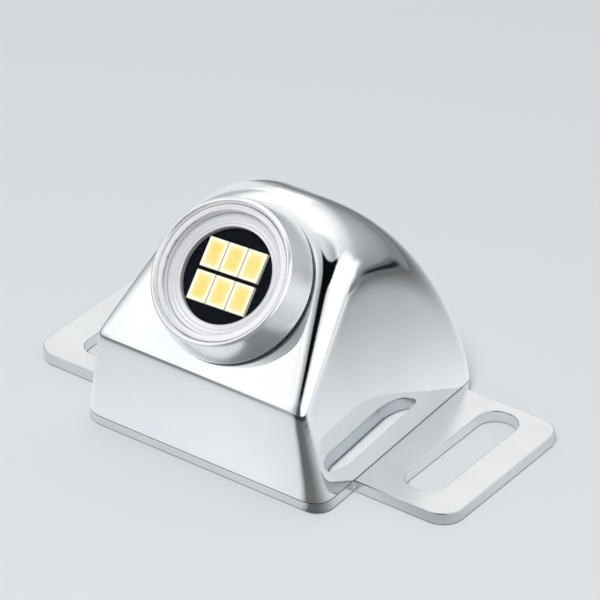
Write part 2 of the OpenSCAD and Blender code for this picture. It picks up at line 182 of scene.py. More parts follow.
def bare(bm, name="cutter"):
    """Makes an object of a bmesh, and frees the bmesh."""
    mesh = bpy.data.meshes.new(name)
    bm.to_mesh(mesh)
    bm.free()
    return placed(name, mesh)


def dress(piece, material, replaced):
    """Gives a piece its smooth shading, finish, body and the CAD nodes it stands for."""
    mesh = piece.data
    mesh.shade_smooth()
    mesh.set_sharp_from_angle(angle=SHARP)
    mesh.materials.clear()
    mesh.materials.append(material)
    weigh = piece.modifiers.new("Even shading", "WEIGHTED_NORMAL")
    weigh.keep_sharp = True
    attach(piece, BODY)
    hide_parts(*replaced)


def publish(bm, name, material, replaced):
    """Turns a bmesh into a finished piece."""
    dress(bare(bm, name), material, replaced)


def tidy(bm, gap=0.001 * MM):
    """Merges doubles and turns every face outwards."""
    bmesh.ops.remove_doubles(bm, verts=bm.verts[:], dist=gap)
    bmesh.ops.dissolve_degenerate(bm, edges=bm.edges[:], dist=gap)
    bmesh.ops.recalc_face_normals(bm, faces=bm.faces[:])
    return bm


def round_edges(bm, radius, sharp=math.radians(30), segments=3):
    """Rounds every edge that is sharper than the given angle."""
    edges = [e for e in bm.edges if len(e.link_faces) == 2 and e.calc_face_angle(0) > sharp]
    return bevelled(bm, edges, radius, segments)


def bevelled(bm, edges, radius, segments):
    """Bevels edges with the mesh in millimetres, since the bevel's own limits are too coarse for metres."""
    bm.transform(Matrix.Scale(1 / MM, 4))
    bmesh.ops.bevel(
        bm, geom=edges, offset=radius / MM, offset_type="OFFSET", segments=segments, profile=0.5,
        affect="EDGES", material=-1, clamp_overlap=True)
    bm.transform(Matrix.Scale(MM, 4))
    return bm


def turned(profile, closed=True, steps=192, rounding=0):
    """Spins a profile of radius and height pairs round +Z, then rounds its sharp rims."""
    bm = bmesh.new()
    verts = [bm.verts.new((r, 0, z)) for r, z in profile]
    pairs = list(zip(verts, verts[1:] + (verts[:1] if closed else [])))
    for a, b in (pairs if closed else pairs[:len(verts) - 1]):
        bm.edges.new((a, b))
    bmesh.ops.spin(
        bm, geom=bm.verts[:] + bm.edges[:], cent=(0, 0, 0), axis=(0, 0, 1), dvec=(0, 0, 0),
        angle=2 * math.pi, steps=steps, use_merge=True, use_duplicate=False)
    tidy(bm)
    if rounding:
        round_edges(bm, rounding)
    return bm


def settled(piece):
    """Takes an object's modifiers off and hands back the mesh that they made."""
    graph = bpy.context.evaluated_depsgraph_get()
    mesh = bpy.data.meshes.new_from_object(piece.evaluated_get(graph))
    piece.modifiers.clear()
    return mesh


def combine(target, bm, operation):
    """Joins a bmesh to the target object, or cuts it away."""
    other = bare(bm)
    step = target.modifiers.new(operation, "BOOLEAN")
    step.operation = operation
    step.solver = "EXACT"
    step.object = other
    target.data = settled(target)
    bpy.data.objects.remove(other)


def drum(bm, radius, low, high, matrix, segments):
    """Adds a closed cylinder between two heights."""
    place = matrix @ Matrix.Translation((0, 0, (low + high) / 2))
    bmesh.ops.create_cone(
        bm, cap_ends=True, segments=segments, radius1=radius, radius2=radius, depth=high - low, matrix=place)
    return bm


# The hood's blended skin

def foot_taper(hood):
    """Run of each side of the foot towards the middle, over its length."""
    return (hood.foot_front_w - hood.foot_back_w) / 2 / (hood.foot_front + hood.foot_back)


def half_width(hood, y, z):
    """Half width of the hood at a depth and height, between its leaning side walls."""
    return hood.foot_front_w / 2 - foot_taper(hood) * (y + hood.foot_front) - z * math.tan(hood.wall_lean)


def hood_formers(hood, inset, foot_z):
    """Discs, balls and a half ring, as centre, radius and the plane each one fills."""
    least, rib_count, ring_count = 0.5 * MM, 360, 540
    taper = foot_taper(hood)
    wall_run = math.tan(hood.wall_lean)
    wall_norm = math.sqrt(1 + taper ** 2 + wall_run ** 2)
    across, upright = np.array([1.0, 0, 0]), np.array([0, 0, 1.0])
    level = np.diag([1.0, 1.0, 0])
    formers = []

    def both(x, y, z, radius, fill):
        for side in (1, -1):
            formers.append((np.array([side * x, y, z]), radius, fill))

    # Bottom corners of the foot
    ends = (skirt_y(hood, foot_z), 1, hood.front_corner_r), (hood.foot_back, -1, hood.back_corner_r)
    for y_edge, inward, full in ends:
        r = max(full - inset, least)
        y = y_edge + inward * (inset + r)
        x = half_width(hood, y, foot_z) - inset * wall_norm - r * math.sqrt(1 + taper ** 2)
        both(x, y, foot_z, r, level)
    # Ends of the crease
    r = max(hood.crease_r - inset, least)
    away = inset + r
    along = away / (1 + math.sin(hood.face_slope + hood.skirt_lean))
    y = skirt_y(hood, hood.crease_h) + along * (math.cos(hood.skirt_lean) + math.sin(hood.face_slope))
    z = hood.crease_h + along * (math.sin(hood.skirt_lean) - math.cos(hood.face_slope))
    both(half_width(hood, y, z) - away * wall_norm, y, z, r, np.eye(3))
    # Half ring of rounded edge over the lamp
    place = np.array(lamp_frame(hood))
    ring_centre = (place @ np.array([0, 0, -hood.edge_r, 1]))[:3]
    side, up, out = place[:3, 0], place[:3, 1], place[:3, 2]
    for turn in np.linspace(0, math.pi, ring_count):
        spoke = math.cos(turn) * side + math.sin(turn) * up
        fill = np.outer(spoke, spoke) + np.outer(out, out)
        formers.append((ring_centre + hood.ring_r * spoke, hood.edge_r - inset, fill))
    # Ribs of the curved back
    top = ring_centre + hood.ring_r * up
    rise, run = top[2] - hood.back_h, hood.foot_back - top[1]
    back_r = (run ** 2 + rise ** 2 - hood.edge_r ** 2) / (2 * (run - hood.edge_r))
    pivot = hood.foot_back - back_r
    start = math.atan2(rise, top[1] - pivot)
    for share in np.linspace(0, 1, rib_count):
        turn = start * (1 - share)
        r = max(hood.barrel_top_r * (1 - share) + hood.back_corner_r * share - inset, least)
        reach = back_r - inset - r
        spoke = math.sin(turn) * upright + math.cos(turn) * np.array([0, 1.0, 0])
        y, z = pivot + reach * math.cos(turn), hood.back_h + reach * math.sin(turn)
        slant = wall_run * math.cos(turn) - taper * math.sin(turn)
        x = half_width(hood, y, z) - inset * wall_norm - r * math.sqrt(wall_norm ** 2 - slant ** 2)
        both(max(x, 0), y, z, r, np.outer(across, across) + np.outer(spoke, spoke))
    return formers


def stretched_skin(formers, detail):
    """Starts from a ball and moves each vertex out to the former that reaches furthest its way."""
    bm = bmesh.new()
    bmesh.ops.create_icosphere(
        bm, subdivisions=detail, radius=1, matrix=Matrix.Rotation(math.pi / 2, 4, "Z"))
    ways = np.array([v.co.normalized() for v in bm.verts])
    furthest = np.full(len(ways), -np.inf)
    places = np.zeros_like(ways)
    for centre, radius, fill in formers:
        spread = ways @ fill
        reach = np.maximum(np.linalg.norm(spread, axis=1), 1e-9)
        height = ways @ centre + radius * reach
        better = height > furthest
        furthest[better] = height[better]
        places[better] = centre + radius * spread[better] / reach[better, None]
    for vert, place in zip(bm.verts, places):
        vert.co = place
    return tidy(bm)


def closed_below(bm, height):
    """Replaces the crumpled faces on the bottom plane by one flat face."""
    sliver = 0.002 * MM
    low = [f for f in bm.faces if all(v.co.z < height + sliver for v in f.verts)]
    bmesh.ops.delete(bm, geom=low, context="FACES")
    rim = [e for e in bm.edges if e.is_boundary]
    bmesh.ops.edgeloop_fill(bm, edges=rim)
    bmesh.ops.recalc_face_normals(bm, faces=bm.faces[:])
    return bm


def boss_places(hood):
    """Places of the four screws, near the corners of the foot."""
    front_in, back_in, side_in = 5.6 * MM, 5 * MM, 0.4 * MM
    top = hood.foot_z + hood.boss_h
    for y in (-hood.foot_front + front_in, hood.foot_back - back_in):
        x = half_width(hood, y, top) - hood.boss_r - side_in
        for side in (1, -1):
            yield side * x, y


class LIGHT_OT_hood(bpy.types.Operator):
    """Cast hood: blended skin, hollow inside, with the lamp's pad and bore"""
    bl_idname = "light.hood"
    bl_label = "Hood"

    def execute(self, context):
        hood = settings()[0]
        fine, coarse, facets, over = 7, 5, 128, 1 * MM
        low = hood.foot_z - over
        on_lamp = lamp_frame(hood)
        shell = self.softened(hood, fine)
        combine(shell, drum(bmesh.new(), hood.pad_r, -over, hood.pad_h, on_lamp, facets), "UNION")
        hollow = bare(closed_below(stretched_skin(hood_formers(hood, hood.wall, low), coarse), low))
        combine(hollow, self.bosses(hood, hood.boss_r, low - over, hood.boss_h), "DIFFERENCE")
        inside = bmesh.new()
        inside.from_mesh(hollow.data)
        bpy.data.objects.remove(hollow)
        bore = drum(bmesh.new(), hood.bore_r, -2 * hood.wall, 2 * over, on_lamp, facets)
        for cutter in (inside, self.bosses(hood, hood.hole_r, low, hood.boss_h - over), bore):
            combine(shell, cutter, "DIFFERENCE")
        dress(shell, chrome_on_zinc_casting(hood), ["housing"])
        return {"FINISHED"}

    @staticmethod
    def softened(hood, fine):
        """The outer skin, evened out and smoothed so that its roundings flow into its flats."""
        cell, rounds, spare = 0.25 * MM, 86, 3 * MM
        skin = bare(stretched_skin(hood_formers(hood, 0, hood.foot_z - spare), fine), "hood")
        even = skin.modifiers.new("Even cells", "REMESH")
        even.mode = "VOXEL"
        even.voxel_size = cell
        soft = skin.modifiers.new("Soft roundings", "SMOOTH")
        soft.factor = 0.5
        soft.iterations = rounds
        mesh = settled(skin)
        bm = bmesh.new()
        bm.from_mesh(mesh)
        cut = bmesh.ops.bisect_plane(
            bm, geom=bm.verts[:] + bm.edges[:] + bm.faces[:], plane_co=(0, 0, hood.foot_z),
            plane_no=(0, 0, 1), clear_inner=True)["geom_cut"]
        bmesh.ops.edgeloop_fill(bm, edges=[e for e in cut if isinstance(e, bmesh.types.BMEdge)])
        tidy(bm).to_mesh(mesh)
        bm.free()
        skin.data = mesh
        return skin

    @staticmethod
    def bosses(hood, radius, low, rise):
        """Four upright drums at the screws."""
        bm, facets = bmesh.new(), 48
        for x, y in boss_places(hood):
            drum(bm, radius, low, hood.foot_z + rise, Matrix.Translation((x, y, 0)), facets)
        return bm


# The lamp unit

class LIGHT_OT_lamp_body(bpy.types.Operator):
    """Turned lamp body: conical flange, rim, lens seat and barrel"""
    bl_idname = "light.lamp_body"
    bl_label = "Lamp body"

    def execute(self, context):
        hood, lamp, led, _ = settings()
        gap, wall, web, step = 0.1 * MM, 1.3 * MM, 1.6 * MM, 0.7 * MM
        edge, ledge, seal_t = 0.3 * MM, 0.3 * MM, 0.3 * MM
        seat, rim = lamp.seat_z, lamp.seat_z + lamp.flange_h
        lens_top = rim - lamp.rim_drop
        lens_seat = lens_top - lamp.lens_t - seal_t
        lens_hole, ring_hole, board_hole = lamp.lens_r + gap, lamp.lens_r - ledge, lamp.body_r - step
        inner, floor = lamp.body_r - wall, lamp.pocket_z
        profile = [
            (0, floor - web), (inner, floor - web), (inner, lamp.back_z), (lamp.body_r, lamp.back_z),
            (lamp.body_r, seat), (lamp.flange_r, seat), (lamp.flange_r, seat + edge),
            (lamp.rim_r, rim - edge), (lamp.rim_r - edge, rim), (lens_hole + edge, rim),
            (lens_hole, lens_top), (lens_hole, lens_seat), (ring_hole, lens_seat),
            (ring_hole, led.board_top), (board_hole, led.board_top), (board_hole, floor), (0, floor)]
        body = turned(profile, closed=False, steps=256, rounding=0.08 * MM)
        body.transform(lamp_frame(hood))
        publish(body, "lamp_body", turned_aluminium(hood), ["bezel"])
        return {"FINISHED"}


class LIGHT_OT_lens(bpy.types.Operator):
    """Clear lens with a shallow crown and its reflector ring below"""
    bl_idname = "light.lens"
    bl_label = "Lens and reflector ring"

    def execute(self, context):
        hood, lamp, led, _ = settings()
        edge = lamp.seat_z + lamp.flange_h - lamp.rim_drop
        steps = 12
        crown = [(lamp.lens_r * (1 - i / steps), edge + lamp.lens_rise * (1 - (1 - i / steps) ** 2))
                 for i in range(steps + 1)]
        lens = turned([(0, edge - lamp.lens_t), (lamp.lens_r, edge - lamp.lens_t)] + crown, closed=False)
        lens.transform(lamp_frame(hood))
        publish(lens, "lens_disc", clear_polycarbonate(hood, lamp), ["lens"])

        clear_r, clear_z, dish, ripple, ring_steps, ridges = 0.4 * MM, 0.15 * MM, 0.2 * MM, 0.05 * MM, 36, 4
        outer, low = lamp.lens_r - clear_r, led.board_top
        high = edge - lamp.lens_t - clear_z
        top = []
        for i in range(ring_steps + 1):
            share = i / ring_steps
            relief = ripple * math.cos(2 * math.pi * ridges * share) if 0 < i < ring_steps else 0
            top.append((outer + (lamp.aperture_r - outer) * share, high - dish * share - ripple + relief))
        ring = turned([(lamp.aperture_r, low), (outer, low)] + top)
        ring.transform(lamp_frame(hood))
        publish(ring, "reflector", satin_reflector(hood), ["reflector_ring"])
        return {"FINISHED"}


class LIGHT_OT_leds(bpy.types.Operator):
    """Six LEDs: moulded frames with a yellow phosphor fill"""
    bl_idname = "light.leds"
    bl_label = "LEDs"

    def execute(self, context):
        hood, _, led, _ = settings()
        frame_w, round_r, depth = 0.4 * MM, 0.25 * MM, led.thick / 2
        window = (led.width - 2 * frame_w, led.long - 2 * frame_w)
        cream, yellow = led_frame_resin(), phosphor_silicone()
        for i in range(LED_COLUMNS * LED_ROWS):
            column = i % LED_COLUMNS - (LED_COLUMNS - 1) / 2
            row = (LED_ROWS - 1) / 2 - i // LED_COLUMNS
            place = (lamp_frame(hood) @ Matrix.Translation((0, 0, led.board_top))
                     @ Matrix.Rotation(led.turn, 4, "Z")
                     @ Matrix.Translation((column * led.pitch, row * led.row_pitch, 0)))
            case = self.case(led, frame_w, round_r, depth)
            case.transform(place)
            publish(case, f"led_frame_{i + 1}", cream, [f"led_package_{i + 1}"])
            fill = self.fill(window, round_r, led.thick - depth, depth)
            fill.transform(place)
            publish(fill, f"led_fill_{i + 1}", yellow, [f"led_phosphor_{i + 1}"])
        return {"FINISHED"}

    @staticmethod
    def block(width, deep, low, thick):
        """A closed block that stands at a height."""
        bm = bmesh.new()
        size = Matrix.Diagonal((width, deep, thick, 1))
        bmesh.ops.create_cube(bm, size=1, matrix=Matrix.Translation((0, 0, low + thick / 2)) @ size)
        return bm

    def case(self, led, frame_w, round_r, depth):
        """The moulded frame, with a rounded window sunk in its top."""
        soft_r = 0.05 * MM
        bm = self.block(led.width, led.long, 0, led.thick)
        top = max(bm.faces, key=lambda f: f.calc_center_median().z)
        bmesh.ops.inset_region(bm, faces=[top], thickness=frame_w, use_even_offset=True)
        floor = bmesh.ops.extrude_discrete_faces(bm, faces=[top])["faces"][0]
        bmesh.ops.translate(bm, verts=floor.verts[:], vec=(0, 0, -depth))
        bmesh.ops.recalc_face_normals(bm, faces=bm.faces[:])
        bevelled(bm, self.upright(bm, led.width / 2 - frame_w / 2), round_r, segments=4)
        return round_edges(bm, soft_r, sharp=math.radians(50), segments=2)

    @staticmethod
    def upright(bm, within):
        """The upright edges that stand within a distance of the middle plane."""
        steep = 0.9
        return [e for e in bm.edges
                if abs((e.verts[0].co - e.verts[1].co).normalized().z) > steep
                and abs(e.verts[0].co.x) < within]

    def fill(self, window, round_r, low, depth):
        """The phosphor, a shallow dome with a map that runs from -1 to 1 across the window."""
        sunk, dome_step, dome_rises = 0.08 * MM, 0.1 * MM, (0.03 * MM, 0.012 * MM)
        bm = self.block(window[0], window[1], low, depth - sunk)
        bevelled(bm, self.upright(bm, window[0]), round_r, segments=4)
        top = max(bm.faces, key=lambda f: f.calc_center_median().z)
        for rise in dome_rises:
            bmesh.ops.inset_region(bm, faces=[top], thickness=dome_step, depth=rise, use_even_offset=True)
        across = bm.loops.layers.uv.new("window")
        for face in bm.faces:
            for loop in face.loops:
                loop[across].uv = (2 * loop.vert.co.x / window[0], 2 * loop.vert.co.y / window[1])
        return bm


# The steel plate and its fixings

class LIGHT_OT_plate(bpy.types.Operator):
    """Slotted steel plate with softened edges, its screws and the cable bush"""
    bl_idname = "light.plate"
    bl_label = "Plate and fixings"

    def execute(self, context):
        hood, soft_r = settings()[0], 0.18 * MM
        bm = bmesh.new()
        bm.from_mesh(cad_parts["base_plate"].data)
        tidy(bm)
        bmesh.ops.dissolve_limit(bm, angle_limit=math.radians(1), verts=bm.verts[:], edges=bm.edges[:])
        round_edges(bm, soft_r, sharp=math.radians(40))
        publish(bm, "steel_plate", polished_steel_plate(), ["base_plate"])

        shank, head, sink = 1.25 * MM, 2.35 * MM, 1.15 * MM
        tip, point = hood.foot_z + 5 * MM, 0.6 * MM
        cross = Matrix.Diagonal((2.4 * MM, 0.45 * MM, 1.2 * MM, 1))
        screws = bmesh.new()
        for x, y in boss_places(hood):
            one = bare(turned(
                [(0, 0), (head, 0), (shank, sink), (shank, tip - point), (0.5 * shank, tip), (0, tip)],
                closed=False, steps=64))
            for turn in (0.2 * math.pi, 0.7 * math.pi):
                slit = bmesh.new()
                bmesh.ops.create_cube(slit, size=1, matrix=Matrix.Rotation(turn, 4, "Z") @ cross)
                combine(one, slit, "DIFFERENCE")
            one.data.transform(Matrix.Translation((x, y, 0)))
            screws.from_mesh(one.data)
            bpy.data.objects.remove(one)
        publish(screws, "plate_screws", zinc_plated_screw(), ["base_screws"])

        bush_y, hole, bore, lip, lip_t, bush_r = 6 * MM, 3.4 * MM, 2.1 * MM, 1.2 * MM, 1.2 * MM, 0.15 * MM
        foot, top = hood.foot_z, hood.foot_z + lip_t
        bush = turned(
            [(bore, 0), (hole, 0), (hole, foot), (hole + lip, foot), (hole, top), (bore, top)],
            steps=96, rounding=bush_r)
        bush.transform(Matrix.Translation((0, bush_y, 0)))
        publish(bush, "cable_bush", moulded_rubber(), ["cable_grommet"])
        return {"FINISHED"}


class LIGHT_OT_hidden_parts(bpy.types.Operator):
    """Finishes of the CAD parts that stay: seals, nut, boards and driver parts"""
    bl_idname = "light.hidden_parts"
    bl_label = "Seals, nut and driver"

    def execute(self, context):
        finishes = {
            moulded_rubber(): ["base_gasket", "bezel_seal", "lens_seal", "rear_plug"],
            zinc_plated_screw(): ["nut_washer"],
            turned_aluminium(settings()[0]): ["bezel_nut", "capacitor"],
            solder_mask("black solder mask", "#0B0E16"): ["led_board"],
            solder_mask("green solder mask", "#1E5B34"): ["driver_board"],
            moulded_epoxy(): ["rectifier", "regulator", "resistors", "inductor"],
            heat_pad_silicone(): ["thermal_pad"],
        }
        for material, names in finishes.items():
            for name in names:
                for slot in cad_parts[name].material_slots:
                    slot.material = material
        return {"FINISHED"}


# Finishes

def add(tree, kind, inputs=None, **values):
    """Adds a node with its settings, and links or sets its inputs. A hex code becomes a colour."""
    made = tree.nodes.new(kind)
    for key, value in values.items():
        setattr(made, key, value)
    for key, value in (inputs or {}).items():
        if isinstance(value, bpy.types.NodeSocket):
            tree.links.new(value, made.inputs[key])
        else:
            made.inputs[key].default_value = linear(value) + [1] if isinstance(value, str) else value
    return made


def finish(name, code, metallic, roughness, **sockets):
    """A Principled material with its plain values set, and its node tree."""
    found = bpy.data.materials.get(name)
    if found:
        return found, None, None
    material = bpy.data.materials.new(name)
    material.use_nodes = True
    tree = material.node_tree
    shader = tree.nodes["Principled BSDF"]
    shader.inputs["Base Color"].default_value = linear(code) + [1]
    shader.inputs["Metallic"].default_value = metallic
    shader.inputs["Roughness"].default_value = roughness
    for key, value in sockets.items():
        shader.inputs[key.replace("_", " ")].default_value = value
    return material, tree, shader


def surface(tree, shader, relief=None, **looks):
    """Links looks to the shader's inputs of those names. A relief is a height, its strength and its depth."""
    if relief:
        height, strength, depth = relief
        bump = add(tree, "ShaderNodeBump", {"Height": height, "Strength": strength, "Distance": depth})
        looks["Normal"] = bump.outputs["Normal"]
    for key, value in looks.items():
        tree.links.new(value, shader.inputs[key.replace("_", " ")])


class Levels:
    """Works out levels on one tree.

    A level is a number, a link, or a run: what it runs with, its start and end there, and where need be
    its first and last level and its kind.
    """

    def __init__(self, tree):
        self.tree = tree

    def times(self, *levels):
        """Multiplies levels."""
        total = None
        for level in levels:
            if isinstance(level, tuple):
                along, start, end, first, last, kind = level + (0.0, 1.0, "SMOOTHSTEP")[len(level) - 3:]
                if start > end:
                    start, end, first, last = end, start, last, first
                level = add(self.tree, "ShaderNodeMapRange", {
                    "Value": along, "From Min": start, "From Max": end, "To Min": first, "To Max": last},
                    interpolation_type=kind).outputs["Result"]
            total = level if total is None else self.work(total, ("MULTIPLY", level))
        return total

    def work(self, level, *steps):
        """Works a level through steps, each an operation and the other level that it takes."""
        for operation, *others in steps:
            values = dict(enumerate(self.times(one) for one in (level, *others)))
            level = add(self.tree, "ShaderNodeMath", values, operation=operation).outputs[0]
        return level

    def lay(self, level, *layers):
        """Lays levels over one another, each with the levels whose product is its share."""
        level = self.times(level)
        for above, *share in layers:
            values = {0: self.times(*share), 2: level, 3: self.times(above)}
            level = add(self.tree, "ShaderNodeMix", values, data_type="FLOAT").outputs[0]
        return level


def blotch(tree, size_mm, low, high, detail=2, stretch=(1, 1, 1)):
    """Noise of a real size on the object, spread between two values."""
    where = add(tree, "ShaderNodeTexCoord").outputs["Object"]
    mapping = add(tree, "ShaderNodeMapping", {"Vector": where, "Scale": stretch})
    noise = add(tree, "ShaderNodeTexNoise", {
        "Vector": mapping.outputs["Vector"], "Scale": 1 / (size_mm * MM), "Detail": detail, "Roughness": 0.5})
    return Levels(tree).times((noise.outputs[0], *NOISE_MIDDLE, low, high, "LINEAR"))


def tones(tree, share, first, second):
    """Two tones of one finish, in patches of a real size or by a given share."""
    if not isinstance(share, bpy.types.NodeSocket):
        share = blotch(tree, share, 0, 1)
    return add(tree, "ShaderNodeMix", {0: share, 6: first, 7: second}, data_type="RGBA").outputs[2]


def chrome_on_zinc_casting(hood):
    """Bright chrome plated on a polished zinc casting: a mirror with the faint waves of hand polishing."""
    material, tree, shader = finish("chrome plate on polished zinc casting", "#E6E9EB", 1, 0.03)
    if tree:
        # Polishing haze a few millimetres across, and a thin painted shade line, dark and rougher, along the
        # foot's lower edge, standing in for the shadow gap where the casting meets the plate
        do = Levels(tree)
        unshaded_from, shaded_below, dull = hood.foot_z + 0.22 * MM, hood.foot_z + 0.08 * MM, 0.4
        where = add(tree, "ShaderNodeTexCoord").outputs["Object"]
        height = add(tree, "ShaderNodeSeparateXYZ", {"Vector": where}).outputs["Z"]
        # foot is the mask of the painted shade line along the foot's lower edge
        foot = do.times((height, unshaded_from, shaded_below))
        plating = tones(tree, 9, "#E3E7EA", "#EAECED")
        surface(tree, shader, relief=(blotch(tree, 7, 0, 1, detail=1), 0.05, 0.02 * MM),
                Base_Color=tones(tree, foot, plating, "#74797C"),
                Roughness=do.lay(blotch(tree, 6, 0.02, 0.055), (dull, foot)))
    return material


def polished_steel_plate():
    """Stainless sheet, laser cut and mechanically polished: bright, with fine lines along the plate."""
    material, tree, shader = finish("polished stainless sheet", "#CBCED1", 1, 0.24)
    if tree:
        # Polishing lines run along the plate, drawn at 0.25 mm so that they show
        lines = blotch(tree, 0.25, 0, 1, stretch=(0.03, 1, 1))
        surface(tree, shader, relief=(lines, 0.04, 0.02 * MM),
                Base_Color=tones(tree, 8, "#C8CBCE", "#CFD2D4"),
                Roughness=blotch(tree, 0.3, 0.21, 0.26, stretch=(0.04, 1, 1)))
    return material


def turned_aluminium(hood):
    """Aluminium bar turned on a lathe: satin, with rings of tool marks about the lamp's axis."""
    material, tree, shader = finish("turned aluminium", "#E6E8EC", 0.68, 0.2)
    if tree:
        rings = lathe_rings(tree, hood, 0.35)
        surface(tree, shader, relief=(rings, 0.05, 0.02 * MM),
                Base_Color=tones(tree, 5, "#E4E6EA", "#EFF0F2"),
                Roughness=Levels(tree).times((rings, *NOISE_MIDDLE, 0.16, 0.26, "LINEAR")))
    return material


def axis_distance(tree, hood):
    """Distance from the lamp's axis, and height along it."""
    where = add(tree, "ShaderNodeTexCoord").outputs["Object"]
    centre = lamp_frame(hood).translation
    offset = add(tree, "ShaderNodeVectorMath", {0: where, 1: centre}, operation="SUBTRACT")
    level = add(tree, "ShaderNodeMapping", {
        "Vector": offset.outputs["Vector"], "Rotation": (-hood.face_slope, 0, 0)})
    x, y, rise = add(tree, "ShaderNodeSeparateXYZ", {"Vector": level.outputs["Vector"]}).outputs[:]
    flat = add(tree, "ShaderNodeCombineXYZ", {"X": x, "Y": y, "Z": 0.0})
    radius = add(tree, "ShaderNodeVectorMath", {0: flat.outputs["Vector"]}, operation="LENGTH")
    return radius.outputs["Value"], rise


def lathe_rings(tree, hood, pitch_mm):
    """Rings about the lamp's axis, with the pitch of the tool's feed."""
    radius, rise = axis_distance(tree, hood)
    along = add(tree, "ShaderNodeCombineXYZ", {"X": radius, "Y": rise, "Z": 0.0})
    noise = add(tree, "ShaderNodeTexNoise", {
        "Vector": along.outputs["Vector"], "Scale": 1 / (pitch_mm * MM), "Detail": 3.0, "Roughness": 0.6})
    return noise.outputs[0]


def satin_reflector(hood):
    """Moulded reflector with a vapour metal coat under lacquer: pale, milky and streaked in rings."""
    material, tree, shader = finish("lacquered metallised reflector", "#E9EAED", 0.45, 0.3)
    if tree:
        rings = lathe_rings(tree, hood, 0.3)
        do = Levels(tree)
        streaks = do.times((rings, *NOISE_MIDDLE, 0, 1, "LINEAR"))
        surface(tree, shader, relief=(rings, 0.04, 0.02 * MM),
                Base_Color=tones(tree, streaks, "#E6E8EC", "#F6F7F8"),
                Roughness=do.times((rings, *NOISE_MIDDLE, 0.25, 0.36, "LINEAR")))
    return material


def clear_polycarbonate(hood, lamp):
    """Moulded polycarbonate: clear over the reflector, with a milky, frosted land round its edge."""
    material, tree, shader = finish("clear polycarbonate", "#EDEFF2", 0, 0.05)
    if tree:
        do = Levels(tree)
        land_out, land_in, milky, frosted = lamp.lens_r - 0.6 * MM, lamp.lens_r - 1.1 * MM, 0.62, 0.3
        land = do.times((axis_distance(tree, hood)[0], land_in, land_out))
        facing = add(tree, "ShaderNodeLayerWeight", {"Blend": 0.15}).outputs["Facing"]
        clear = (facing, 0.0, 1.0, 0.012, 0.3, "LINEAR")
        surface(tree, shader, Base_Color=tones(tree, land, "#000000", "#EFF0F3"),
                Roughness=do.lay(0.05, (frosted, land)), Alpha=do.lay(clear, (milky, land)))
    return material


def led_frame_resin():
    """White polyphthalamide frame of an LED: creamy, smooth and slightly glossy."""
    material, tree, shader = finish("cream LED frame resin", "#FFFDF0", 0, 0.35)
    if tree:
        surface(tree, shader, Base_Color=tones(tree, 1.5, "#FCF6DA", "#FFFAE6"),
                Roughness=blotch(tree, 0.8, 0.3, 0.45))
    return material


def phosphor_silicone():
    """Yellow phosphor in silicone: deep yellow in the middle of its window, paler at the edge."""
    material, tree, shader = finish("yellow phosphor silicone", "#FBE08A", 0, 0.35)
    if tree:
        do, squareness = Levels(tree), 5.0
        window = add(tree, "ShaderNodeUVMap", uv_map="window").outputs["UV"]
        x, y, _ = add(tree, "ShaderNodeSeparateXYZ", {"Vector": window}).outputs[:]
        across, along = (do.work(part, ("ABSOLUTE",), ("POWER", squareness)) for part in (x, y))
        edge = do.work(across, ("ADD", along), ("MINIMUM", 1.0))
        core = tones(tree, 1.6, "#F9D970", "#FBE291")
        surface(tree, shader, Base_Color=tones(tree, edge, core, "#FBEDB4"))
    return material


def moulded_rubber():
    """Moulded nitrile rubber: black and matt, with a fine grain."""
    material, tree, shader = finish("moulded nitrile rubber", "#1B1B1D", 0, 0.62)
    if tree:
        surface(tree, shader, relief=(blotch(tree, 0.25, 0, 1), 0.2, 0.02 * MM),
                Base_Color=tones(tree, 2, "#171719", "#232325"))
    return material


def zinc_plated_screw():
    """Zinc plated steel: bluish grey and softly glossy."""
    material, tree, shader = finish("zinc plated steel", "#B9BCC0", 1, 0.3)
    if tree:
        surface(tree, shader, Base_Color=tones(tree, 1.2, "#AEB2B8", "#C4C5C4"),
                Roughness=blotch(tree, 0.6, 0.24, 0.4))
    return material


def solder_mask(name, code):
    """Solder mask on a circuit board: coloured lacquer with a soft gloss over a fine weave."""
    material, tree, shader = finish(name, code, 0, 0.4, Specular_IOR_Level=0.04)
    if tree:
        surface(tree, shader, relief=(blotch(tree, 0.3, 0, 1), 0.1, 0.01 * MM),
                Roughness=blotch(tree, 0.7, 0.26, 0.4))
    return material


def moulded_epoxy():
    """Moulded epoxy of chips and coils: charcoal with a sandy surface."""
    material, tree, shader = finish("moulded epoxy", "#2A2B2D", 0, 0.55)
    if tree:
        surface(tree, shader, relief=(blotch(tree, 0.12, 0, 1), 0.2, 0.01 * MM),
                Base_Color=tones(tree, 0.5, "#232426", "#333437"))
    return material


def heat_pad_silicone():
    """Filled silicone heat pad: pale grey and matt."""
    material, tree, shader = finish("filled silicone heat pad", "#A9ADB2", 0, 0.7)
    if tree:
        surface(tree, shader, Base_Color=tones(tree, 0.6, "#A1A5AB", "#B4B7BB"))
    return material


# Stage

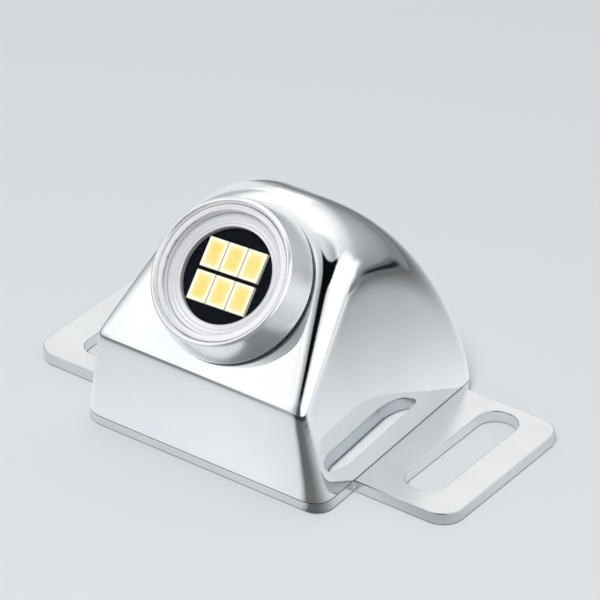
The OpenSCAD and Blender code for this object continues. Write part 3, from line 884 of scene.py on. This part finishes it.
def studio_world(stage):
    """The studio as the chrome mirrors it: softboxes, a black gap overhead and a dark horizon.

    Places are given by compass, with 0 to the front and 90 to the right, and by height.
    """
    world = bpy.data.worlds.new("studio softboxes")
    bpy.context.scene.world = world
    world.use_nodes = True
    tree = world.node_tree
    do = Levels(tree)
    way = add(tree, "ShaderNodeTexCoord").outputs["Generated"]
    x, y, z = add(tree, "ShaderNodeSeparateXYZ", {"Vector": way}).outputs[:]
    ahead = do.work(y, ("MULTIPLY", -1.0))
    compass = do.work(x, ("ARCTAN2", ahead), ("DEGREES",))
    height = do.work(z, ("ARCSINE",), ("DEGREES",))
    behind = do.work(compass, ("ABSOLUTE",))

    # Back wall, brighter with height, with a low softbox at its left end
    level = do.lay(
        (height, 0, 50, 0.33, 1.2, "LINEAR"),
        (1.4, (compass, -166, -154), (compass, -104, -116), (height, 17, 30)))
    # Open front, lit down to a dim horizon, and the slim softbox where it ends at the left
    front = do.lay((height, -6, 24, 0.75, 1.22), (0.6, (compass, -50, -112)))
    slim = do.times((compass, -142, -135), (compass, -112, -124))
    level = do.lay(level, (front, (behind, 128, 112)), (0.95, slim, (height, 40, 25)))
    # Overhead light, dimmer above the right side
    top = do.lay(1.25, ((height, 58, 84, 0.5, 0.9, "LINEAR"), (compass, -70, 0), (compass, 158, 125)))
    level = do.lay(level, (top, (height, 38, 54)))
    # Dim side of the camera, from the front to the right
    dim = do.lay((compass, -34, -4, 1.22, 0.5), (0.12, (compass, -2, 11)))
    level = do.lay(level, (dim, (compass, -36, -30), (compass, 64, 50), (height, 66, 50)))
    # Tall softbox at the right, standing on the floor except at its far end
    lid = do.work((compass, 96, 150, 58, 27, "LINEAR"), ("SUBTRACT", height))
    past = do.work(compass, ("SUBTRACT", (height, 0, 14, 151, 143, "LINEAR")))
    foot = do.work(height, ("SUBTRACT", (compass, 130, 142, -16, 6)))
    rise = do.work((compass, 44, 56, 0.0, 0.62), ("ADD", (compass, 54, 88, 0.0, 0.38)))
    box = do.times(rise, (past, 4, -3), (lid, -1.5, 1.5), (foot, -4, 4))
    box_level = do.lay(1.27, (0.6, (compass, 110, 130), (height, 8, -14)))
    level = do.lay(level, (box_level, box))
    # Black gap overhead, bending down to the right
    run = do.times((compass, 10, 140, 0.0, 1.18, "LINEAR"))
    high = do.work(76.0, ("SUBTRACT", do.work(run, ("POWER", 3.0), ("MULTIPLY", 24.0))))
    low = do.work(55.5, ("SUBTRACT", do.work(run, ("POWER", 5.0), ("MULTIPLY", 9.5))))
    over_low, under_high = do.work(height, ("SUBTRACT", low)), do.work(high, ("SUBTRACT", height))
    level = do.lay(level, (
        0.004, (compass, -4, 12), (compass, 136, 122), (over_low, -1.5, 1.5), (under_high, -1.5, 1.5)))
    # Dark band below the horizon, past the floor's edge, with a black line in it at the back right
    line = do.lay(0.16, (0.02, (height, -5, -3.9), (height, -1.8, -3)))
    dark = do.lay(
        0.55, (0.27, (behind, 100, 135)), (0.05, (compass, -30, 0), (compass, 100, 60)),
        (line, (compass, 140, 147), (compass, 168, 160)), (0.9, slim))
    level = do.lay(level, (dark, (height, 0.5, -1.5), do.work(1.0, ("SUBTRACT", box))))

    # Metal mirrors the softboxes, the rest is lit evenly and the camera sees the backdrop
    rays = add(tree, "ShaderNodeLightPath").outputs
    seen = do.lay(stage.fill_level, (do.times(level, stage.world_level), rays["Is Glossy Ray"]))
    red, blue = do.work(seen, ("POWER", 1.04)), do.work(seen, ("POWER", 0.97))
    grey = add(tree, "ShaderNodeCombineColor", {"Red": red, "Green": seen, "Blue": blue}).outputs["Color"]
    shown = tones(tree, rays["Is Camera Ray"], grey, stage.backdrop[:])
    surface(tree, tree.nodes["Background"], Color=shown)


def pale_floor(stage, hood):
    """Plain matt floor. Metal mirrors it as a painted pool of light, dimmer outwards, with painted shade
    before the front corner.
    """
    material, tree, shader = finish("pale studio floor", "#D3D5D7", 0, 0.9)
    if tree:
        do = Levels(tree)
        where = add(tree, "ShaderNodeTexCoord").outputs["Object"]
        x, y, _ = add(tree, "ShaderNodeSeparateXYZ", {"Vector": where}).outputs[:]
        away = add(tree, "ShaderNodeVectorMath", {0: where}, operation="LENGTH").outputs["Value"]
        middle, spill_lean, slim_level, near_loss, edge_loss = 1.05, 0.75, 0.85, 0.82, 0.97
        dimming = do.work(away, ("DIVIDE", stage.pool_r), ("POWER", 2.0), ("ADD", 1.0))
        level = do.work(middle, ("DIVIDE", dimming))
        # Painted light, standing for light spilt by the tall softbox at the right and by the slim one at the
        # back left
        spill = do.work(x, ("SUBTRACT", do.work(y, ("MULTIPLY", spill_lean))))
        compass = do.work(x, ("ARCTAN2", do.work(y, ("MULTIPLY", -1.0))), ("DEGREES",))
        level = do.lay(
            level, ((y, -26 * MM, 8 * MM, 0.7, 0.97), (spill, 28 * MM, 50 * MM, 0.0, 1.0, "LINEAR")),
            (slim_level, (compass, -146, -138), (compass, -108, -118)))
        # Painted shade: a dim sector before the right front corner, darker further out
        across = do.work(x, ("SUBTRACT", hood.foot_front_w / 2 - hood.front_corner_r))
        before = do.work(hood.front_corner_r - hood.foot_front, ("SUBTRACT", y))
        turn = do.work(across, ("ARCTAN2", before), ("DEGREES",))
        out = do.work(do.times(across, across), ("ADD", do.times(before, before)), ("SQRT",))
        near = do.times((turn, -28, 0), (turn, 150, 25), near_loss)
        edge = do.times((turn, -28, 10), (turn, 125, 95), (out, 22 * MM, 58 * MM), edge_loss)
        lit_near, lit_edge = do.work(1.0, ("SUBTRACT", near)), do.work(1.0, ("SUBTRACT", edge))
        level = do.times(level, lit_near, lit_edge, (y, -72 * MM, -50 * MM, 0.6, 1.0))
        grey = add(tree, "ShaderNodeCombineColor", {
            "Red": do.times(level, 0.98), "Green": do.times(level, 0.99), "Blue": level}).outputs["Color"]
        # Mirror rays see the painted pool of light and shade, every other ray sees the plain floor colour
        mirrored = add(tree, "ShaderNodeLightPath").outputs["Is Glossy Ray"]
        surface(tree, shader, Base_Color=tones(tree, mirrored, stage.floor[:], grey))
    return material


class LIGHT_OT_stage(bpy.types.Operator):
    """Plain pale floor, soft studio light and the camera"""
    bl_idname = "light.stage"
    bl_label = "Stage"

    def execute(self, context):
        hood, _, _, stage = settings()
        floor_drop = 0.1 * MM
        key_place, key_size = Vector((0.2, -0.5, 0.95)), 0.5
        camera_place, camera_turns = (0.31116, -0.43206, 0.35019), (57.8379, -0.4689, 36.0502)
        context.scene.view_settings.view_transform = "Standard"
        studio_world(stage)

        bm = bmesh.new()
        bmesh.ops.create_circle(
            bm, cap_ends=True, segments=96, radius=stage.floor_r,
            matrix=Matrix.Translation((0, 0, -floor_drop)))
        floor = bare(bm, "floor")
        floor.data.materials.append(pale_floor(stage, hood))

        light = bpy.data.lights.new("key", "AREA")
        light.shape = "DISK"
        light.size = key_size
        light.energy = stage.key_watts
        key = placed("key", light)
        key.location = key_place
        key.rotation_euler = (-key_place).to_track_quat("-Z", "Y").to_euler()
        key.visible_glossy = False

        data = bpy.data.cameras.new("camera")
        data.lens = stage.lens_mm
        data.sensor_width = 36
        data.clip_start = 0.01
        camera = placed("camera", data)
        camera.location = camera_place
        camera.rotation_euler = [math.radians(turn) for turn in camera_turns]
        context.scene.camera = camera
        return {"FINISHED"}


OPERATORS = (
    LIGHT_OT_hood, LIGHT_OT_lamp_body, LIGHT_OT_lens, LIGHT_OT_leds, LIGHT_OT_plate,
    LIGHT_OT_hidden_parts, LIGHT_OT_stage)
GROUPS = {
    "hood_sizes": HoodSizes, "lamp_sizes": LampSizes, "led_sizes": LedSizes, "stage_settings": StageSettings}


class LIGHT_PT_panel(bpy.types.Panel):
    """Lists the pieces of the reversing light and its values"""
    bl_idname = "LIGHT_PT_panel"
    bl_label = "Reversing Light"
    bl_space_type = "VIEW_3D"
    bl_region_type = "UI"
    bl_category = "Reversing Light"

    def draw(self, context):
        for operator in OPERATORS:
            self.layout.operator(operator.bl_idname)
        for name, group in GROUPS.items():
            box = self.layout.box()
            for key in group.__annotations__:
                box.prop(getattr(context.scene, name), key)


def register():
    for group in GROUPS.values():
        bpy.utils.register_class(group)
    for name, group in GROUPS.items():
        setattr(bpy.types.Scene, name, PointerProperty(type=group))
    for made in OPERATORS + (LIGHT_PT_panel,):
        bpy.utils.register_class(made)


def unregister():
    for made in reversed(OPERATORS + (LIGHT_PT_panel,)):
        bpy.utils.unregister_class(made)
    for name in GROUPS:
        delattr(bpy.types.Scene, name)
    for group in reversed(list(GROUPS.values())):
        bpy.utils.unregister_class(group)


def main():
    """Builds the light and its stage."""
    register()
    bpy.ops.light.stage()
    bpy.ops.light.hood()
    bpy.ops.light.lamp_body()
    bpy.ops.light.lens()
    bpy.ops.light.leds()
    bpy.ops.light.plate()
    bpy.ops.light.hidden_parts()


if __name__ == "__main__":
    main()
